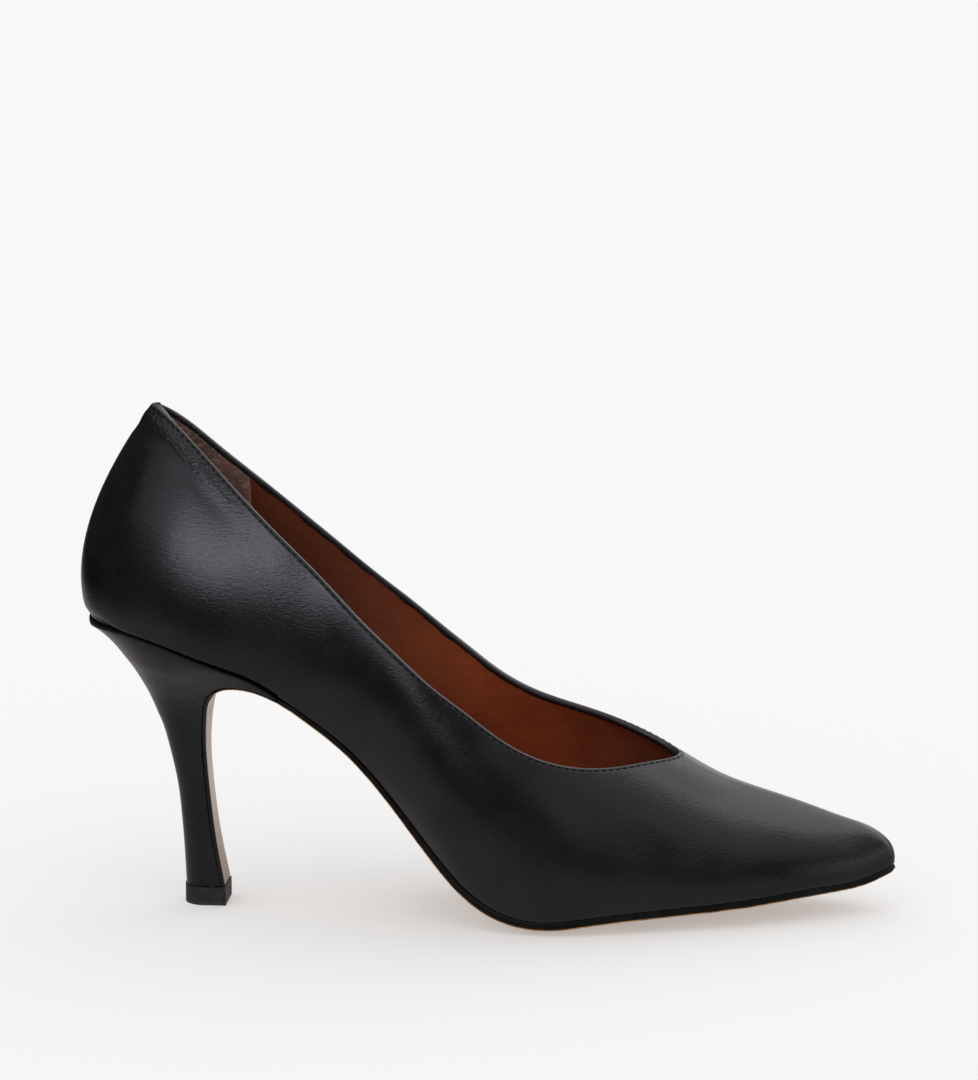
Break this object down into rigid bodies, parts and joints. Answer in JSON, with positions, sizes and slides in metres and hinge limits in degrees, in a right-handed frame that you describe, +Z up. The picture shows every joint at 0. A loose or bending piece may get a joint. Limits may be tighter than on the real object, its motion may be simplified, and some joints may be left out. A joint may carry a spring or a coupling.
{
  "type": "stiletto court shoe",
  "caption": "Right court shoe in smooth leather with a pointed toe, a deep V-shaped throat, a thin leather sole and a slim flared stiletto heel.",
  "frame": {"origin": "middle of the shoe's box, on the floor that it stands on", "axes": "+X towards the toe, +Y towards the inner (medial) side of the foot, +Z up"},
  "size_m": [0.2504, 0.075, 0.1564],
  "materials": {
    "black_calf": "smooth black calf leather, satin",
    "tan_sock": "cognac-tan lining leather, matt",
    "sole_leather": "beige sole leather with black edges",
    "covered_heel": "black leather cover, satin",
    "black_rubber": "matt black rubber"
  },
  "bodies": {
    "root": {"upper": "black_calf", "insole": "tan_sock", "outsole": "sole_leather", "heel": "covered_heel", "heel_tip": "black_rubber"}
  },
  "joints": []
}
